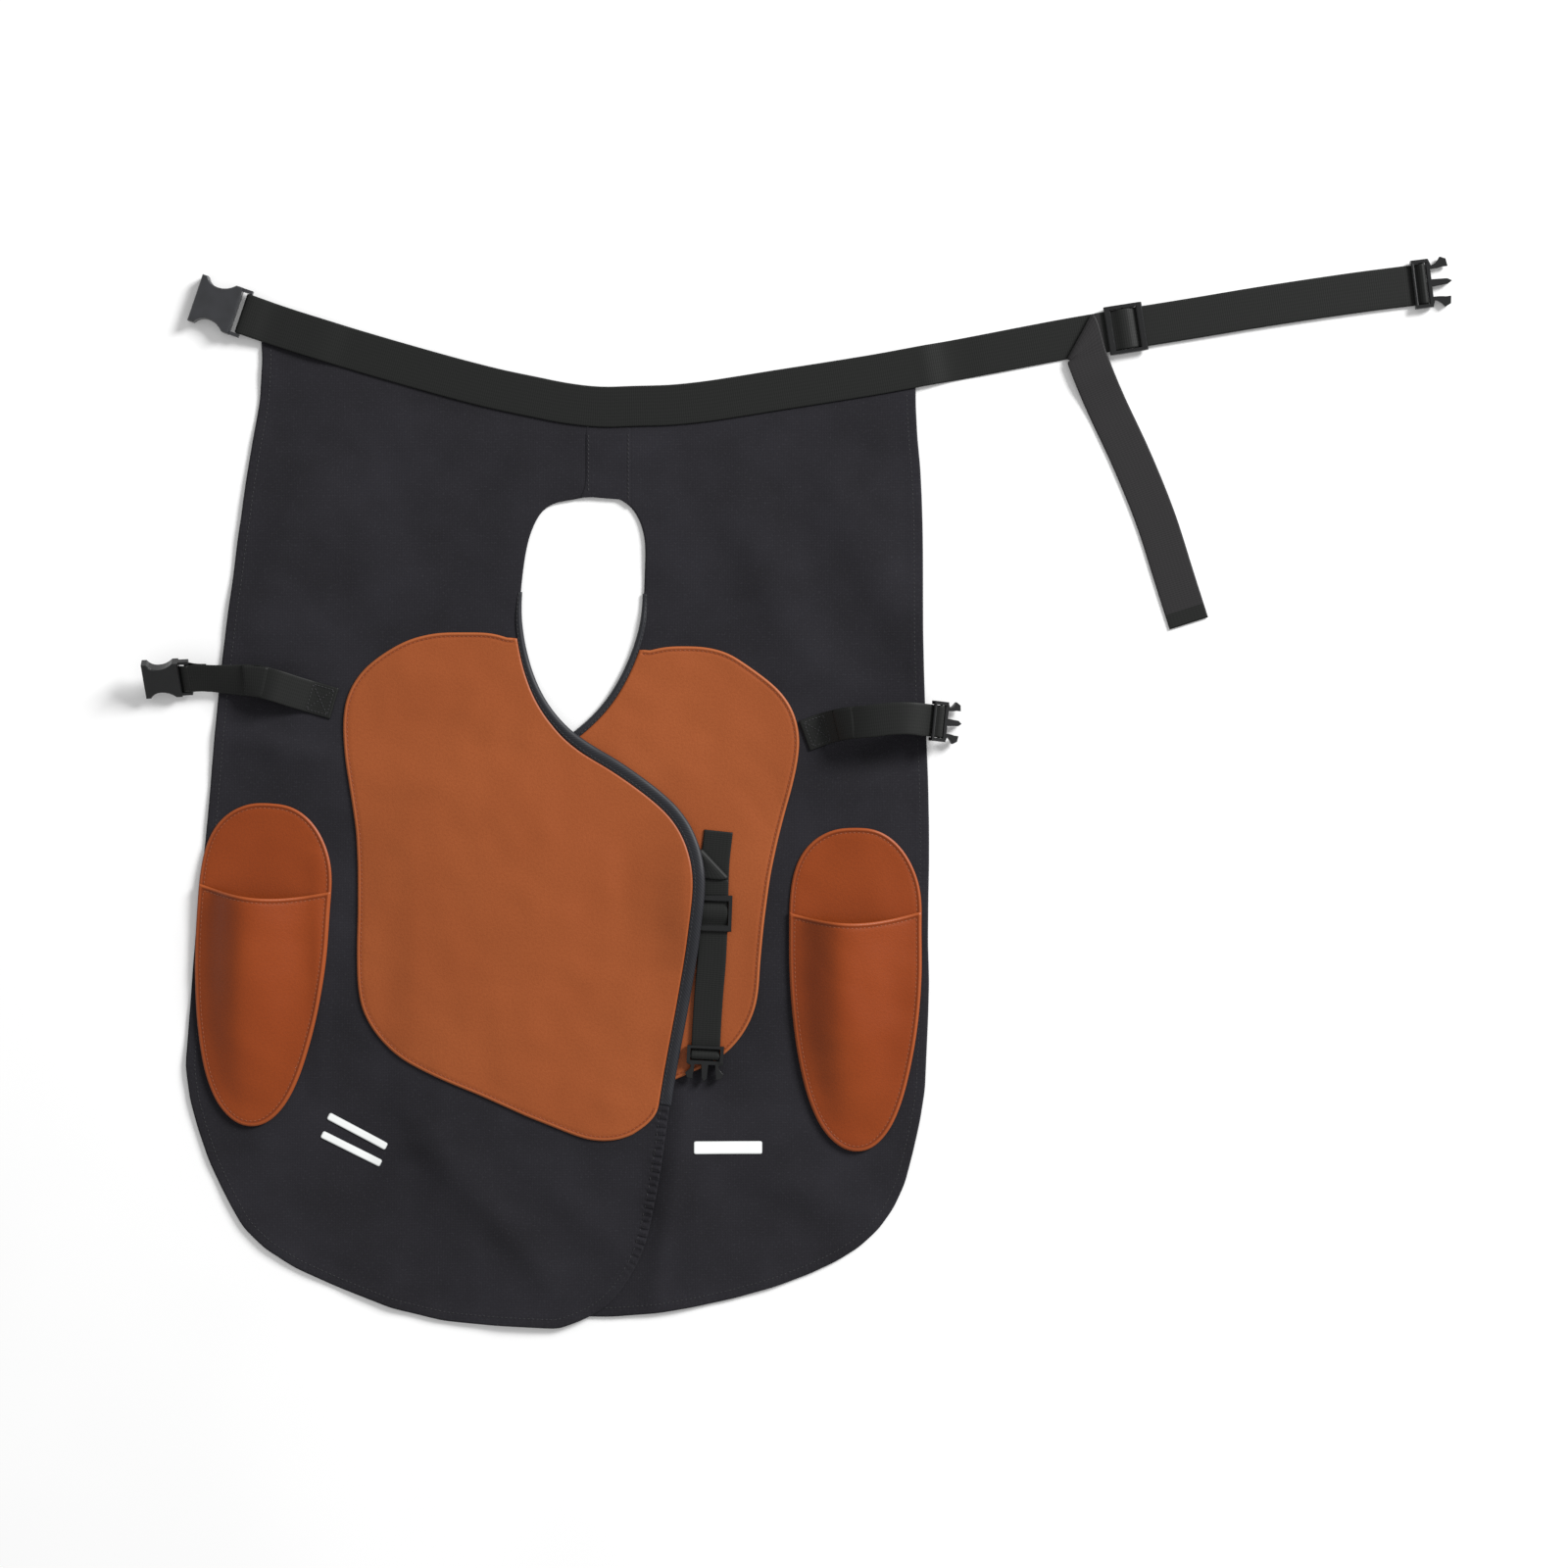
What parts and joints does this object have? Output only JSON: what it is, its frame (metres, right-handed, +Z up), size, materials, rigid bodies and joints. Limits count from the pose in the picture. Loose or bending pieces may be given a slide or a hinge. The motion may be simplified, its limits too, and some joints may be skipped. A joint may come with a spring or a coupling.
{
  "type": "farrier apron",
  "caption": "Split-leg work apron of dark canvas with leather thigh patches, curved tool pockets and a webbing waist belt and leg straps that close with side-release buckles.",
  "frame": {"origin": "on the surface it lies on, under the middle of the whole apron laid flat", "axes": "+X from the wearer-right socket end of the belt to its plug end, +Y towards the belt, +Z up off the surface"},
  "size_m": [1.2248, 1.0054, 0.0333],
  "materials": {
    "canvas": "matte woven",
    "tape": "matte woven",
    "patch_leather": "smooth satin",
    "pocket_leather": "smooth satin",
    "webbing": "woven",
    "plastic": "semi-gloss",
    "white_strip": "matte"
  },
  "bodies": {
    "root": {"panel_left": "canvas", "panel_right": "canvas", "binding_left": "tape", "binding_right": "tape", "thigh_patch_left": "patch_leather", "thigh_patch_right": "patch_leather", "pocket_back_left": "pocket_leather", "pocket_front_left": "pocket_leather", "pocket_back_right": "pocket_leather", "pocket_front_right": "pocket_leather", "waist_webbing": "webbing", "waist_buckle_socket": "plastic", "waist_slider": "plastic", "waist_buckle_plug": "plastic", "leg_strap_left": "webbing", "leg_buckle_socket": "plastic", "leg_strap_right": "webbing", "leg_buckle_plug": "plastic", "inner_strap": "webbing", "inner_slider": "plastic", "inner_buckle_plug": "plastic", "marker_strip_left_upper": "white_strip", "marker_strip_left_lower": "white_strip", "marker_strip_right": "white_strip"}
  },
  "joints": []
}
